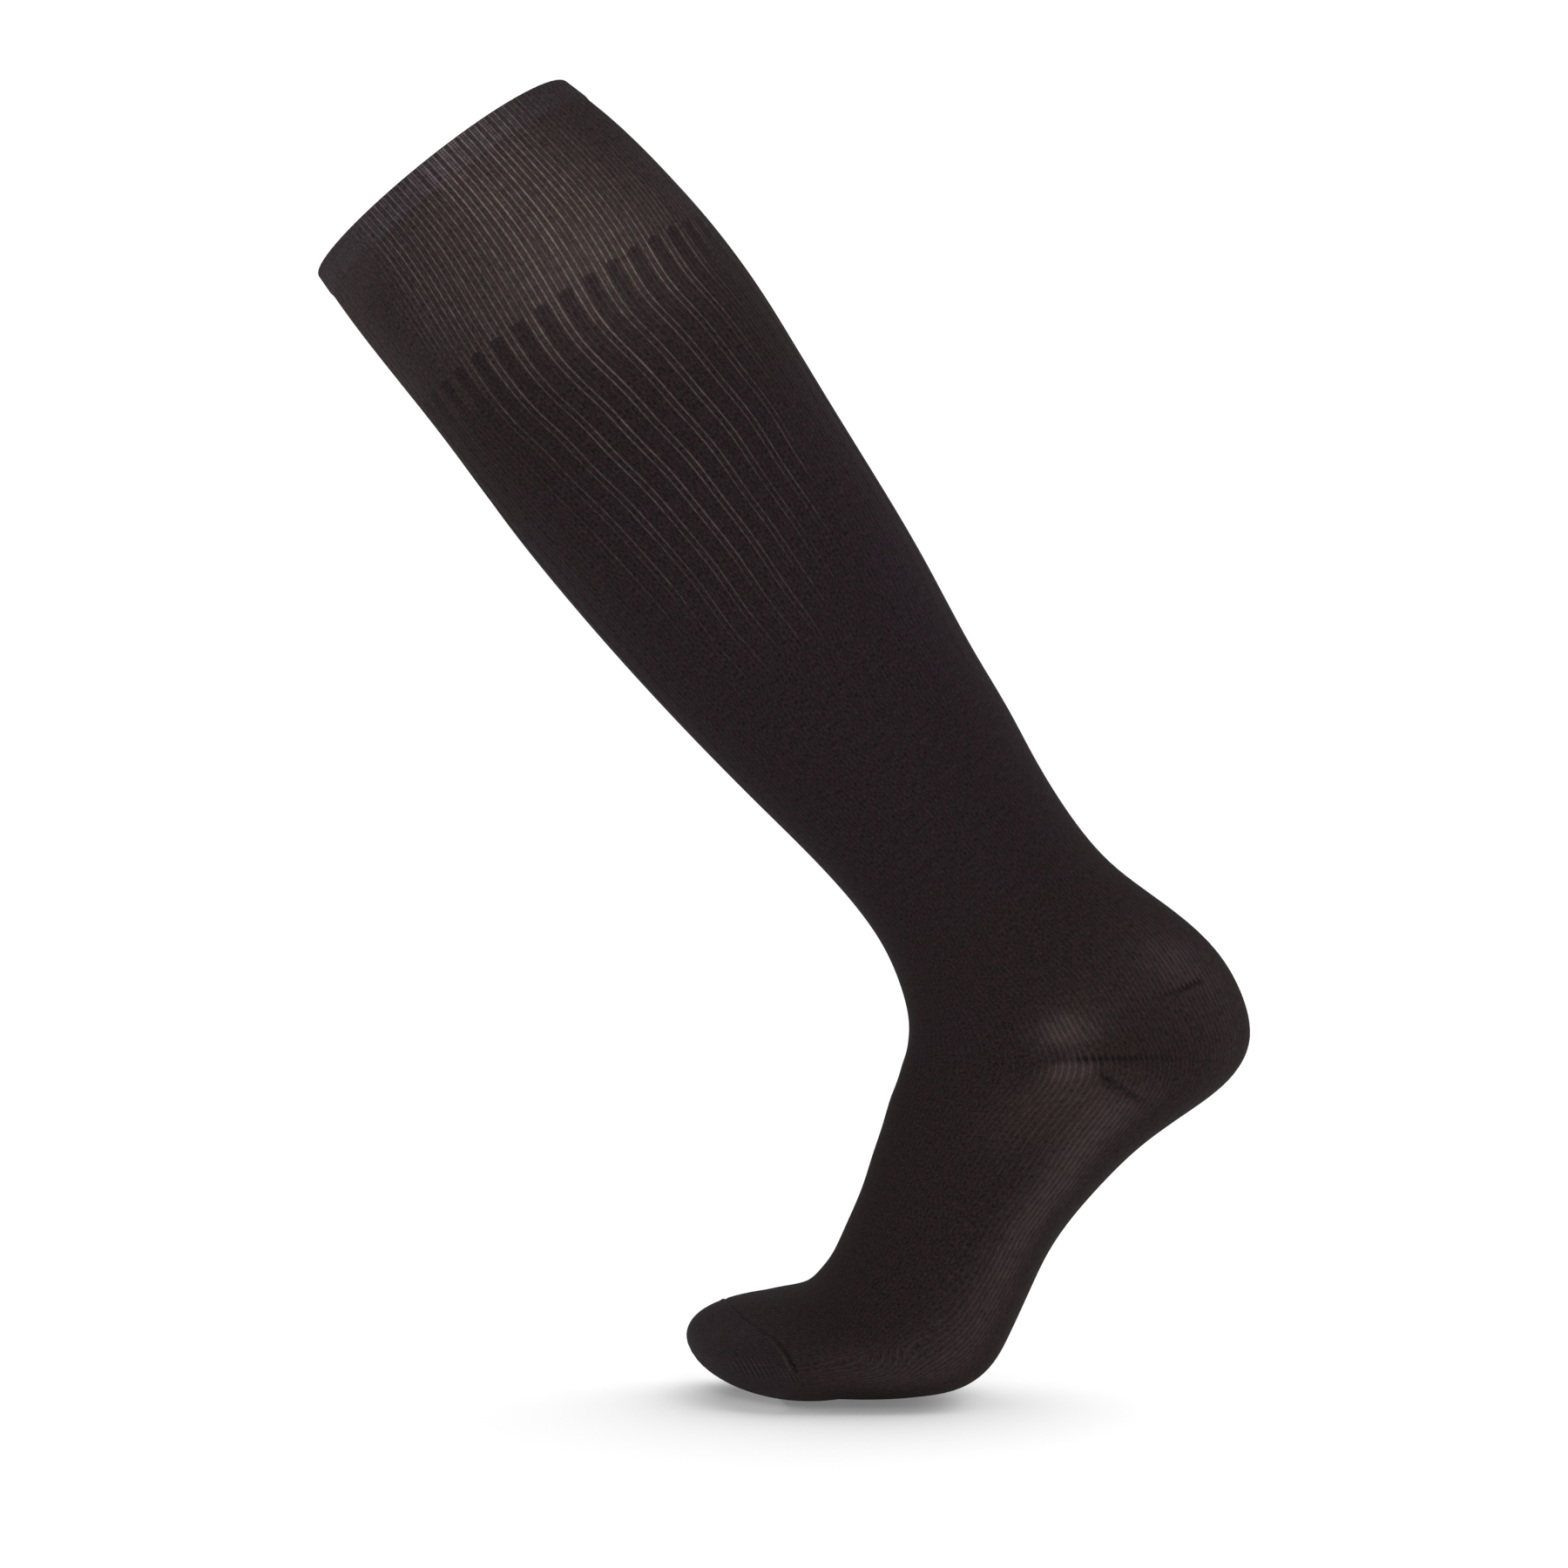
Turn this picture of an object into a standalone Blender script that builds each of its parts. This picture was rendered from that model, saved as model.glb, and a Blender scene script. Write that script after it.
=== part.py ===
"""Knee-high compression stocking, hollow and filled out, standing on its toes with the heel up.

Metres, +Z up. The foot points along -X and the outer side of this left stocking faces -Y.
The wall follows one ring at each section of the table below. The sections are written from
the tip of the toe (x) and from the floor (z), and the finished part is moved so that its
origin is the middle of the opening at the top, where a leg goes in and holds it up.
"""

import math
from collections import namedtuple

import bpy
import numpy as np

# Driving dimensions
WALL = 0.0012            # single knitted wall
WELT_WALL = 0.0020       # doubled wall of the welt
SEAM_GAP = 0.0003        # clearance between neighbouring pieces
WELT_DEPTH = 0.011       # height of the welt
CUFF_END = 0.069         # from the opening to the last course of the ribbed cuff
TOE_REACH = 0.0385       # from the middle of the last section to the tip of the toe
TOE_SHIFT = 0.012        # the tip lies this far towards the big toe
TOE_DROP = 0.0055        # and lower than the middle of the last section
TOE_ROUND = 2.15         # fullness of the toe's dome, where 2 is a plain ellipse
TOE_SEAM = 0.0155        # from the last section to the linked toe seam
TOE_SEAM_GAP = 0.0005    # the toe seam crosses the tightest curve, so its rims lean together
EDGE_COURSE = 0.0004     # narrow band of facets along each seam, so that both rims lean alike
SIDES = 36               # facets around the leg
CORNER_STEP = 2          # degrees from the side to the first column of the heel's open piece
LAG_POWER = 3            # how sharply the toes' line turns back towards the little toe

# Colours and surface
DARK_KNIT = (0.021, 0.015, 0.016)
CUFF_KNIT = (0.034, 0.028, 0.026)
WELT_KNIT = (0.040, 0.036, 0.037)
SATIN = 0.7              # roughness of the nylon knit

# One row for each section, from the opening down to the toe joint. front and back are the ends
# of the section's chord: shin and calf on the leg, instep and sole on the foot. egg widens the
# back half and narrows the front half. flat is the fullness of the back half, where 2 is a
# plain ellipse. lag is how far the little toe's side lies behind the big toe's.
Section = namedtuple("Section", "front_x front_z back_x back_z width egg flat lag")
SECTIONS = (
    #       front_x  front_z  back_x  back_z  width   egg  flat    lag
    Section(-0.1355,  0.4105, -0.0455, 0.4805, 0.104, 0.06, 2.0, 0.000),   # opening
    Section(-0.1250,  0.3955, -0.0285, 0.4670, 0.108, 0.07, 2.0, 0.000),
    Section(-0.1100,  0.3760, -0.0080, 0.4470, 0.110, 0.08, 2.0, 0.000),
    Section(-0.0875,  0.3475,  0.0190, 0.4150, 0.112, 0.10, 2.0, 0.000),   # fullest calf
    Section(-0.0665,  0.3190,  0.0390, 0.3840, 0.106, 0.10, 2.0, 0.000),
    Section(-0.0350,  0.2805,  0.0610, 0.3480, 0.098, 0.10, 2.0, 0.000),
    Section(0.0000,   0.2420,  0.0865, 0.3055, 0.088, 0.08, 2.0, 0.000),
    Section(0.0280,   0.2135,  0.1050, 0.2715, 0.079, 0.05, 2.0, 0.000),
    Section(0.0475,   0.1940,  0.1175, 0.2505, 0.073, 0.02, 2.0, 0.000),
    Section(0.0640,   0.1750,  0.1295, 0.2285, 0.068, 0.00, 2.0, 0.000),
    Section(0.0735,   0.1600,  0.1425, 0.2085, 0.066, 0.00, 2.0, 0.000),   # ankle
    Section(0.0790,   0.1460,  0.1575, 0.1920, 0.065, 0.00, 2.0, 0.000),
    Section(0.0810,   0.1365,  0.1755, 0.1785, 0.065, 0.00, 2.1, 0.000),
    Section(0.0810,   0.1300,  0.1925, 0.1635, 0.065, 0.00, 2.1, 0.000),
    Section(0.0800,   0.1240,  0.2035, 0.1450, 0.064, 0.00, 2.2, 0.000),
    Section(0.0785,   0.1195,  0.2060, 0.1290, 0.064, 0.00, 2.2, 0.000),   # heel
    Section(0.0770,   0.1145,  0.2000, 0.1165, 0.063, 0.00, 2.2, 0.000),
    Section(0.0745,   0.1080,  0.1865, 0.1050, 0.063, 0.02, 2.2, 0.000),
    Section(0.0715,   0.0980,  0.1675, 0.0915, 0.064, 0.05, 2.2, 0.000),
    Section(0.0680,   0.0875,  0.1515, 0.0765, 0.066, 0.08, 2.3, 0.000),
    Section(0.0640,   0.0750,  0.1325, 0.0530, 0.070, 0.10, 2.4, 0.002),   # instep
    Section(0.0610,   0.0675,  0.1245, 0.0380, 0.074, 0.12, 2.5, 0.004),
    Section(0.0575,   0.0595,  0.1165, 0.0225, 0.080, 0.12, 2.6, 0.006),
    Section(0.0530,   0.0500,  0.1080, 0.0105, 0.087, 0.10, 2.7, 0.008),   # ball
    Section(0.0490,   0.0445,  0.0965, 0.0040, 0.091, 0.08, 3.0, 0.010),
    Section(0.0440,   0.0400,  0.0800, 0.0010, 0.092, 0.06, 3.2, 0.011),
    Section(0.0360,   0.0380,  0.0640, 0.0000, 0.092, 0.04, 3.2, 0.012),
    Section(0.0290,   0.0365,  0.0500, 0.0000, 0.091, 0.02, 3.1, 0.014),   # toe joint
)
HEEL_TOP = 13.1          # row at the top of the heel pocket, at the back
HEEL_MIDDLE = 15.0       # row at its side corners
HEEL_BOTTOM = 17.5       # row at its lower edge, under the heel
HEEL_CURVE = 0.8         # how soon the pocket's edges open out from their corners


def spline(knots, values):
    """Return a function that reads one smooth curve through the values at the knots."""
    steps = np.diff(knots)
    slopes = np.diff(values, axis=0) / steps[:, None]
    count = len(knots)
    system = np.eye(count)
    target = np.zeros_like(values)
    for i in range(1, count - 1):
        system[i, i - 1:i + 2] = steps[i - 1], 2 * (steps[i - 1] + steps[i]), steps[i]
        target[i] = 3 * (slopes[i] - slopes[i - 1])
    bend = np.linalg.solve(system, target)

    def read(at):
        i = int(np.clip(np.searchsorted(knots, at) - 1, 0, count - 2))
        t = at - knots[i]
        rise = slopes[i] - steps[i] * (2 * bend[i] + bend[i + 1]) / 3
        return values[i] + t * (rise + t * (bend[i] + t * (bend[i + 1] - bend[i]) / (3 * steps[i])))

    return read


rows = np.array(SECTIONS)
middles = (rows[:, 0:2] + rows[:, 2:4]) / 2
front_steps = np.linalg.norm(np.diff(rows[:, 0:2], axis=0), axis=1)
back_steps = np.linalg.norm(np.diff(rows[:, 2:4], axis=0), axis=1)
ROW_RUNS = np.concatenate([[0], np.cumsum((front_steps + back_steps) / 2)])
OPENING_MIDDLE = np.array([middles[0, 0], 0, middles[0, 1]])
section_at = spline(ROW_RUNS, rows)


def run_at_row(row):
    """Return the length down the stocking at a row of the table, fractions between rows."""
    return float(np.interp(row, range(len(ROW_RUNS)), ROW_RUNS))


def ring_point(run, angle):
    """Return the wall's outer point at a length down the stocking and an angle from the front."""
    s = Section(*section_at(min(run, ROW_RUNS[-1])))
    front = np.array([s.front_x, 0, s.front_z])
    back = np.array([s.back_x, 0, s.back_z])
    c, side = math.cos(angle), math.sin(angle)
    power = 2 / s.flat if c < 0 else 1
    along = math.copysign(abs(c) ** power, c)
    across = math.copysign(abs(side) ** power, side) * (1 - s.egg * along)
    offset = (front - back) / 2 * along + np.array([0, s.width / 2 * across, 0])
    offset[0] += s.lag * (((1 - across) / 2) ** LAG_POWER - 0.5 ** LAG_POWER)
    middle = (front + back) / 2
    dome = min((run - ROW_RUNS[-1]) / TOE_REACH, 1)
    if dome > 0:
        offset *= (1 - dome ** TOE_ROUND) ** (1 / TOE_ROUND)
        middle = middle + np.array([-TOE_REACH * dome, TOE_SHIFT * dome ** 2, -TOE_DROP * dome])
    return middle + offset - OPENING_MIDDLE


def heel_edge(row):
    """Return the run of a heel edge at each angle: the corners are at the sides."""
    corner, far = run_at_row(HEEL_MIDDLE), run_at_row(row)
    grid = np.arange(SIDES + 1) * 2 * math.pi / SIDES
    opened = np.clip(-np.cos(grid), 0, 1) ** HEEL_CURVE
    runs = corner + (far - corner) * opened
    return lambda angle: float(np.interp(angle % (2 * math.pi), grid, runs))


def level(run):
    """Return an edge that lies at one run all the way round."""
    return lambda angle: run


def below(edge, gap=SEAM_GAP):
    """Return the edge moved by half a gap over the wall towards the toe, square to itself."""
    step, turn = 0.001, math.radians(2)

    def moved(angle):
        run = edge(angle)
        down = ring_point(run + step, angle) - ring_point(run, angle)
        left, right = angle - turn, angle + turn
        along = ring_point(edge(right), right) - ring_point(edge(left), left)
        square_step = np.linalg.norm(np.cross(down, along)) / np.linalg.norm(along)
        return run + gap / 2 * step / square_step

    return moved


def above(edge, gap=SEAM_GAP):
    """Return the edge moved by half a gap towards the opening."""
    return below(edge, -gap)


def knit_piece(name, upper, lower, courses, colour, wall=WALL, angles=None, closed_end=False):
    """Make one knitted piece: a wall between an upper and a lower edge.

    courses is the number of bands of facets. angles gives the columns of an open piece; a
    piece without them goes all the way round. closed_end brings the last course to a point.
    """
    around = angles is None
    columns = [i * 2 * math.pi / SIDES for i in range(SIDES)] if around else angles
    shares = [math.sin(k / courses * math.pi / 2) if closed_end else k / courses
              for k in range(courses)]
    points = []
    for angle in columns:
        start, end = upper(angle), lower(angle)
        collar = min(EDGE_COURSE / (end - start), 1 / (3 * courses))
        stops = [0, collar] + shares[1:] + ([] if closed_end else [1 - collar, 1])
        points += [ring_point(start + (end - start) * stop, angle) for stop in stops]
    bands = len(stops) - 1
    width = len(columns)
    faces = []
    for i in range(width if around else width - 1):
        here, there = i * (bands + 1), (i + 1) % width * (bands + 1)
        for k in range(bands):
            faces.append((here + k, there + k, there + k + 1, here + k + 1))
        if closed_end:
            faces.append((here + bands, there + bands, len(points)))
    if closed_end:
        points.append(ring_point(lower(0), 0))
    mesh = bpy.data.meshes.new(name)
    mesh.from_pydata([tuple(p) for p in points], [], faces)
    mesh.shade_smooth()
    piece = bpy.data.objects.new(name, mesh)
    collection.objects.link(piece)
    solid = piece.modifiers.new("wall", "SOLIDIFY")
    solid.thickness = wall
    solid.offset = -1
    solid.use_even_offset = True
    piece.data.materials.append(knit_material(name, colour))


def knit_material(name, colour):
    """Return a satin nylon knit in one colour."""
    material = bpy.data.materials.new(name + "_knit")
    material.use_nodes = True
    shader = material.node_tree.nodes["Principled BSDF"]
    shader.inputs["Base Color"].default_value = (*colour, 1)
    shader.inputs["Roughness"].default_value = SATIN
    shader.inputs["Metallic"].default_value = 0
    return material


for leftover in list(bpy.data.objects):
    bpy.data.objects.remove(leftover)
collection = bpy.data.collections.new("compression_stocking")
bpy.context.scene.collection.children.link(collection)

rim = level(0)
welt_edge = level(WELT_DEPTH)
cuff_edge = level(CUFF_END)
heel_top = heel_edge(HEEL_TOP)
heel_bottom = heel_edge(HEEL_BOTTOM)
toe_seam = level(ROW_RUNS[-1] + TOE_SEAM)
toe_tip = level(ROW_RUNS[-1] + TOE_REACH)
heel_turns = [90 + CORNER_STEP, *range(100, 270, 360 // SIDES), 270 - CORNER_STEP]

knit_piece("welt", rim, above(welt_edge), courses=1, colour=WELT_KNIT, wall=WELT_WALL)
knit_piece("cuff", below(welt_edge), above(cuff_edge), courses=4, colour=CUFF_KNIT)
knit_piece("leg", below(cuff_edge), above(heel_top), courses=18, colour=DARK_KNIT)
knit_piece("heel", below(heel_top), above(heel_bottom), courses=8, colour=DARK_KNIT,
           angles=[math.radians(turn) for turn in heel_turns])
knit_piece("foot", below(heel_bottom), above(toe_seam, TOE_SEAM_GAP), courses=16,
           colour=DARK_KNIT)
knit_piece("toe", below(toe_seam, TOE_SEAM_GAP), toe_tip, courses=5, colour=DARK_KNIT,
           closed_end=True)
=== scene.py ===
# %% [markdown]
# # A knee-high compression stocking
# A compression stocking is one tube of elastic knit that is tightest at the ankle. Filled out,
# it keeps the shape of a lower leg and a foot. It is knitted in six stretches: a doubled welt at
# the opening, a ribbed cuff, the long leg, a heel pocket, the foot and a closed toe.
# The packed part already holds six plain solids of that shape. Here each of them gets a finer
# wall with real ribs, seams and stitches, and the plain solids stay hidden for collision.

# %% Load the packed part
import math
from collections import namedtuple

import bmesh
import bpy
import numpy as np
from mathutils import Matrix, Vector


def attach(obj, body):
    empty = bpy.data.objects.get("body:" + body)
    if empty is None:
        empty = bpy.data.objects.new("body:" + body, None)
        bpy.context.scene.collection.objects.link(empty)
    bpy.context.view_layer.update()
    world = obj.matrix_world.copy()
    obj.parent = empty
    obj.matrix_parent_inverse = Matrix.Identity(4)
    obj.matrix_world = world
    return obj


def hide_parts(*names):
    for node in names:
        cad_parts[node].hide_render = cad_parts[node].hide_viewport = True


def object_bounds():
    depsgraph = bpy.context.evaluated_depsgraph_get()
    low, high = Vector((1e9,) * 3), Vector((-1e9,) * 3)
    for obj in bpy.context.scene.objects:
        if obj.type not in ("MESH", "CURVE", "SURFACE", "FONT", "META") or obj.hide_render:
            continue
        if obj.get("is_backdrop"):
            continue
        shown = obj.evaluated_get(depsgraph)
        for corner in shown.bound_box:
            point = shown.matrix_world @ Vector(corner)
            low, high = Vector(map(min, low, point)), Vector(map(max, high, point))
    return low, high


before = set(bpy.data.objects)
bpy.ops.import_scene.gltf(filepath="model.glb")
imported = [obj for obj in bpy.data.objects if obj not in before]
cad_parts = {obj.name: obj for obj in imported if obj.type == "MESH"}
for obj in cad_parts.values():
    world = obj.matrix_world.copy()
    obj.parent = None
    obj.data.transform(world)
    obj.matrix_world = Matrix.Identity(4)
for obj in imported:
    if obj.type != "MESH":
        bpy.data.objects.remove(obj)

cad_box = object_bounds()
print("nodes:", sorted(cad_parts))

# %% [markdown]
# ## The shape of the filled stocking
# One way to model a leg is to sculpt it. A knitted tube is easier to describe by its sections,
# as a pattern cutter does: at each station down the leg we write where its front and back lie
# and how wide it is. `egg` widens the back half, `flat` squares it off under the sole, and `lag`
# sets the little toe behind the big one. These numbers are the ones of the solids, so every
# detail below sits on the solid that it stands for.

# %% Sections from the opening to the toe joint, in metres
Section = namedtuple("Section", "front_x front_z back_x back_z width egg flat lag")
SECTIONS = (
    (-0.1355, 0.4105, -0.0455, 0.4805, 0.104, 0.06, 2.0, 0),  # opening
    (-0.1250, 0.3955, -0.0285, 0.4670, 0.108, 0.07, 2.0, 0),
    (-0.1100, 0.3760, -0.0080, 0.4470, 0.110, 0.08, 2.0, 0),
    (-0.0875, 0.3475, 0.0190, 0.4150, 0.112, 0.10, 2.0, 0),  # fullest calf
    (-0.0665, 0.3190, 0.0390, 0.3840, 0.106, 0.10, 2.0, 0),
    (-0.0350, 0.2805, 0.0610, 0.3480, 0.098, 0.10, 2.0, 0),
    (0.0000, 0.2420, 0.0865, 0.3055, 0.088, 0.08, 2.0, 0),
    (0.0280, 0.2135, 0.1050, 0.2715, 0.079, 0.05, 2.0, 0),
    (0.0475, 0.1940, 0.1175, 0.2505, 0.073, 0.02, 2.0, 0),
    (0.0640, 0.1750, 0.1295, 0.2285, 0.068, 0.00, 2.0, 0),
    (0.0735, 0.1600, 0.1425, 0.2085, 0.066, 0.00, 2.0, 0),  # ankle
    (0.0790, 0.1460, 0.1575, 0.1920, 0.065, 0.00, 2.0, 0),
    (0.0810, 0.1365, 0.1755, 0.1785, 0.065, 0.00, 2.1, 0),
    (0.0810, 0.1300, 0.1925, 0.1635, 0.065, 0.00, 2.1, 0),
    (0.0800, 0.1240, 0.2035, 0.1450, 0.064, 0.00, 2.2, 0),
    (0.0785, 0.1195, 0.2060, 0.1290, 0.064, 0.00, 2.2, 0),  # heel
    (0.0770, 0.1145, 0.2000, 0.1165, 0.063, 0.00, 2.2, 0),
    (0.0745, 0.1080, 0.1865, 0.1050, 0.063, 0.02, 2.2, 0),
    (0.0715, 0.0980, 0.1675, 0.0915, 0.064, 0.05, 2.2, 0),
    (0.0680, 0.0875, 0.1515, 0.0765, 0.066, 0.08, 2.3, 0),
    (0.0640, 0.0750, 0.1325, 0.0530, 0.070, 0.10, 2.4, 0.002),  # instep
    (0.0610, 0.0675, 0.1245, 0.0380, 0.074, 0.12, 2.5, 0.004),
    (0.0575, 0.0595, 0.1165, 0.0225, 0.080, 0.12, 2.6, 0.006),
    (0.0530, 0.0500, 0.1080, 0.0105, 0.087, 0.10, 2.7, 0.008),  # ball
    (0.0490, 0.0445, 0.0965, 0.0040, 0.091, 0.08, 3.0, 0.010),
    (0.0440, 0.0400, 0.0800, 0.0010, 0.092, 0.06, 3.2, 0.011),
    (0.0360, 0.0380, 0.0640, 0.0000, 0.092, 0.04, 3.2, 0.012),
    (0.0290, 0.0365, 0.0500, 0.0000, 0.091, 0.02, 3.1, 0.014),  # toe joint
)
TOE_REACH, TOE_SHIFT, TOE_DROP, TOE_ROUND = 0.0385, 0.012, 0.0055, 2.15
WELT_END, CUFF_END, TOE_SEAM = 0.011, 0.069, 0.0155
HEEL_TOP, HEEL_MIDDLE, HEEL_BOTTOM, HEEL_CURVE = 13.1, 15.0, 17.5, 0.8
WALL, WELT_WALL = 0.0012, 0.0020


def smooth_curve(knots, values):
    """Return a reader of one smooth curve (a natural cubic spline) through values at knots."""
    knots, values = np.array(knots, float), np.array(values, float)
    steps = np.diff(knots)
    slopes = np.diff(values, axis=0) / steps[:, None]
    system, target = np.eye(len(knots)), np.zeros_like(values)
    for i in range(1, len(knots) - 1):
        system[i, i - 1:i + 2] = steps[i - 1], 2 * (steps[i - 1] + steps[i]), steps[i]
        target[i] = 3 * (slopes[i] - slopes[i - 1])
    bend = np.linalg.solve(system, target)
    rise = slopes - steps[:, None] * (2 * bend[:-1] + bend[1:]) / 3
    turn = np.diff(bend, axis=0) / (3 * steps[:, None])

    def read(at):
        at = np.clip(at, knots[0], knots[-1])
        i = np.clip(np.searchsorted(knots, at) - 1, 0, len(steps) - 1)
        t = (at - knots[i])[..., None]
        return values[i] + t * (rise[i] + t * (bend[i] + t * turn[i]))

    return read


stations = np.array(SECTIONS)
front_steps = np.linalg.norm(np.diff(stations[:, 0:2], axis=0), axis=1)
back_steps = np.linalg.norm(np.diff(stations[:, 2:4], axis=0), axis=1)
ROW_RUNS = np.concatenate([[0], np.cumsum((front_steps + back_steps) / 2)])
LAST_RUN = ROW_RUNS[-1]
section_at = smooth_curve(ROW_RUNS, stations)
opening = Section(*SECTIONS[0])
origin = np.array([(opening.front_x + opening.back_x) / 2, 0, (opening.front_z + opening.back_z) / 2])
print("length from the opening to the toe's tip: %.0f mm" % (1000 * (LAST_RUN + TOE_REACH)))

# %% [markdown]
# ## From a place in the knit to a point in space
# Every point of the wall has a `run`, its length down the stocking, and an `angle` round it,
# counted from the shin over the big toe's side. `skin_point` turns both into a point on the
# solid's surface. Past the toe joint the ring shrinks along a dome, which closes the toe.

# %% Points and directions on the wall
def power_of(value, exponent):
    return np.sign(value) * np.abs(value) ** exponent


def skin_point(run, angle):
    """Return the outer points of the solid for arrays of run and angle."""
    s = Section(*np.moveaxis(section_at(np.minimum(run, LAST_RUN)), -1, 0))
    c, side = np.cos(angle), np.sin(angle)
    power = np.where(c < 0, 2 / s.flat, 1)
    along = power_of(c, power)
    across = power_of(side, power) * (1 - s.egg * along)
    ring = np.stack([(s.front_x - s.back_x) / 2 * along + s.lag * (((1 - across) / 2) ** 3 - 0.5 ** 3),
                     s.width / 2 * across, (s.front_z - s.back_z) / 2 * along], -1)
    middle = np.stack([(s.front_x + s.back_x) / 2, 0 * run, (s.front_z + s.back_z) / 2], -1)
    dome = np.clip((run - LAST_RUN) / TOE_REACH, 0, 1)
    ring *= ((1 - dome ** TOE_ROUND) ** (1 / TOE_ROUND))[..., None]
    middle += np.stack([-TOE_REACH * dome, TOE_SHIFT * dome ** 2, -TOE_DROP * dome], -1)
    return middle + ring - origin


def skin_outward(run, angle):
    """Return the outward directions of the surface, from small steps along it."""
    step, turn = 0.0004, math.radians(0.5)
    down = skin_point(run + step, angle) - skin_point(run - step, angle)
    around = skin_point(run, angle + turn) - skin_point(run, angle - turn)
    out = np.cross(around, down)
    return out / np.maximum(np.linalg.norm(out, axis=-1, keepdims=True), 1e-12)


here = np.array([0.2]), np.array([math.radians(270)])
print("outward on the outer side (should point to -Y):", skin_outward(*here).round(2))

# %% [markdown]
# ## How the wales run
# A wale is one column of stitches. This tube has 152 of them, in 38 repeats of four. On a real
# leg the wales never lie dead straight: the knit is pulled on with a slight twist, swings where
# the cuff lets go of the calf, and bends round the heel. We could simulate that, but a short
# table is quicker and keeps its look. All its angles are in degrees: `turn` twists the
# tube, `crowd` packs the wales closer at both sides and `spread` moves them from both sides
# towards the instep, or towards the sole where it is negative.

# %% The course of the wales
WALES, REPEAT = 152, 4
NAMED_WALE, NAMED_ANGLE = 28.5, 281.0  # the crest of one wale, before the table moves it
LEANS = (
    # run, turn, crowd, spread
    (0.000, -7, 0.6, 0),  # opening
    (0.020, -5.9, 1.8, 0),
    (0.045, -4, 0.8, 0),
    (0.068, -0.8, 0.8, 0),  # end of the cuff
    (0.085, 0.6, 1.4, 0),
    (0.100, -1.4, 1, 0),
    (0.110, -3.2, 1.5, 0),
    (0.125, -5.2, 1.8, 0),
    (0.140, -7.3, 2.4, 0),
    (0.160, -8, 3.7, 0),
    (0.180, -8.4, 4, 0),
    (0.200, -7.7, 3.7, 0),
    (0.220, -7.5, 4.4, 0),
    (0.235, -5.4, 4, 0),
    (0.250, -4.8, 3.5, 0),
    (0.265, -4.8, 3.5, 0),
    (0.280, -5.7, 3.5, 0),
    (0.295, -7.5, 3.5, 0),
    (0.310, -9.2, 3.5, 0),
    (0.330, -11, 3, 0),  # ankle
    (0.365, -10.5, 3.5, 0),
    (0.380, -10.3, 7, 0),
    (0.392, -10, 8.3, -1),
    (0.407, -11.5, 6.6, -6),  # below the heel's corner
    (0.417, -12.8, 3.4, -8.5),
    (0.425, -14, 0.2, -10.5),
    (0.442, -16, -6, -15),
    (0.459, -18, -9.5, -17),
    (0.475, -17, -11, -16),
    (0.486, -16, -10, -14),
    (0.495, -14.5, -8, -11),
    (0.505, -13, -7, -7.5),
    (0.513, -12, -6, -4.5),
    (0.520, -11, -5.5, -1.5),
    (0.528, -10, -5, 0),  # ball
    (0.535, -10, -4.5, -1.5),
    (0.542, -10, -4, -8),
    (0.549, -10, -3.5, -13),
    (0.563, -10, -3, -17),
    (0.602, -10, -2, -20),  # tip of the toe
)
lean_runs, *lean_angles = zip(*LEANS)
lean_at = smooth_curve(lean_runs, np.radians(lean_angles).T)


def wale_angle(wale, run):
    """Return the angle at which a wale lies at a run."""
    even = math.radians(NAMED_ANGLE) + (wale - NAMED_WALE) * 2 * math.pi / WALES
    turn, crowd, spread = np.moveaxis(lean_at(run), -1, 0)
    side = math.radians(270)
    return even + turn - crowd * np.sin(2 * (even - side)) - spread * np.sin(even)


for at in (0.085, 0.180, 0.459):
    angle = math.degrees(wale_angle(np.array(NAMED_WALE), np.array(at)))
    print("the named wale lies at %.1f degrees, %.0f mm down" % (angle, 1000 * at))

# %% [markdown]
# ## One tool for all six pieces
# Each piece is a thin shell: an outer wall that carries the relief of the ribs, an inner wall
# and two rims. Blender's Solidify modifier would copy every outer face to the inside, which
# nobody sees at that detail. So `knit_piece` lays the outer wall wale by wale, takes only every
# fourth column and row for the inner wall, and joins both with rims. Its columns follow the
# wales, so a raised rib is a real ridge that swings with the knit. Two UV maps go along: `knit`
# counts wales and courses for the materials, and `OFBake` lays the walls out flat, side by side,
# for anyone who wants to bake them.

# %% Edges and rows
COURSE = 0.0010  # height of one course of stitches
INNER_EVERY = 4  # outer columns and rows for each inner one
SEAM_HALF = 0.00003  # each edge stops this far short of the seam
FIRST_GUESS, ROUNDS = 0.4, 8  # for settle: a run, and how often it is corrected


def settle(edge, wales):
    """Return the run at which each wale meets an edge that is given by angle."""
    run = edge(wale_angle(wales, np.full(len(wales), FIRST_GUESS)))
    for _ in range(ROUNDS):
        run = edge(wale_angle(wales, run))
    return run


def level(run):
    return lambda angle: np.full(np.shape(angle), float(run))


def rows_between(wales, upper, lower, shares):
    """Return the runs of a piece's rows; shares go from 0 at the upper edge to 1."""
    start, end = settle(upper, wales) + SEAM_HALF, settle(lower, wales) - SEAM_HALF
    return start + (end - start) * np.asarray(shares)[:, None]


def shares_of(rows):
    return (rows - rows[0]) / (rows[-1] - rows[0])


def columns_of(phases):
    """Return columns all round: the given places within each repeat of the wales."""
    starts = np.arange(WALES // REPEAT) * REPEAT
    return np.concatenate([np.add.outer(starts, phases).ravel(), [WALES]])


print("columns with one for each wale:", len(columns_of(range(REPEAT))))

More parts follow.
